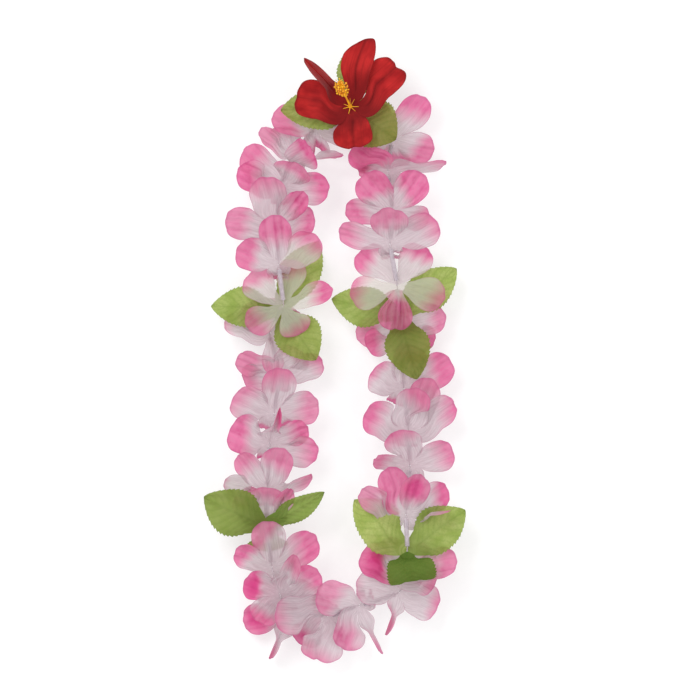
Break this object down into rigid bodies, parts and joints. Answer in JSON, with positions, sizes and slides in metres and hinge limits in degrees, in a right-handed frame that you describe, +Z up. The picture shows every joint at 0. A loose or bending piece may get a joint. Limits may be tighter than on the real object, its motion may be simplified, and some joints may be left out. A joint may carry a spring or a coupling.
{
  "type": "fabric flower lei",
  "caption": "Garland of pink and white fabric blooms and green leaf sets on one thread with tube spacers, closed in a long loop, with a red fabric hibiscus at the top.",
  "frame": {"origin": "middle of the lei's outline seen from above, at the height of the surface it lies on", "axes": "+X to the right of the loop, +Y along the loop towards the hibiscus, +Z up from the surface"},
  "size_m": [0.2302, 0.5509, 0.074],
  "materials": {
    "petal_fabric": "matte",
    "leaf_fabric": "matte",
    "hibiscus_fabric": "matte",
    "tube_plastic": "satin",
    "thread": "matte",
    "stamen_plastic": "satin"
  },
  "bodies": {
    "root": {"bloom_01": "petal_fabric", "bloom_02": "petal_fabric", "bloom_03": "petal_fabric", "bloom_04": "petal_fabric", "bloom_05": "petal_fabric", "bloom_06": "petal_fabric", "bloom_07": "petal_fabric", "bloom_08": "petal_fabric", "bloom_09": "petal_fabric", "bloom_10": "petal_fabric", "bloom_11": "petal_fabric", "bloom_12": "petal_fabric", "bloom_13": "petal_fabric", "bloom_14": "petal_fabric", "bloom_15": "petal_fabric", "bloom_16": "petal_fabric", "bloom_17": "petal_fabric", "bloom_18": "petal_fabric", "bloom_19": "petal_fabric", "bloom_20": "petal_fabric", "bloom_21": "petal_fabric", "bloom_22": "petal_fabric", "bloom_23": "petal_fabric", "bloom_24": "petal_fabric", "bloom_25": "petal_fabric", "bloom_26": "petal_fabric", "bloom_27": "petal_fabric", "bloom_28": "petal_fabric", "bloom_29": "petal_fabric", "hibiscus": "hibiscus_fabric", "leaves_left_lower": "leaf_fabric", "leaves_left_upper": "leaf_fabric", "leaves_right_lower": "leaf_fabric", "leaves_right_upper": "leaf_fabric", "leaves_top": "leaf_fabric", "stamen": "stamen_plastic", "thread": "thread", "tube_01": "tube_plastic", "tube_02": "tube_plastic", "tube_03": "tube_plastic", "tube_04": "tube_plastic", "tube_05": "tube_plastic", "tube_06": "tube_plastic", "tube_07": "tube_plastic", "tube_08": "tube_plastic", "tube_09": "tube_plastic", "tube_10": "tube_plastic", "tube_11": "tube_plastic", "tube_12": "tube_plastic", "tube_13": "tube_plastic", "tube_14": "tube_plastic", "tube_15": "tube_plastic", "tube_16": "tube_plastic", "tube_17": "tube_plastic", "tube_18": "tube_plastic", "tube_19": "tube_plastic", "tube_20": "tube_plastic", "tube_21": "tube_plastic", "tube_22": "tube_plastic", "tube_23": "tube_plastic"}
  },
  "joints": []
}
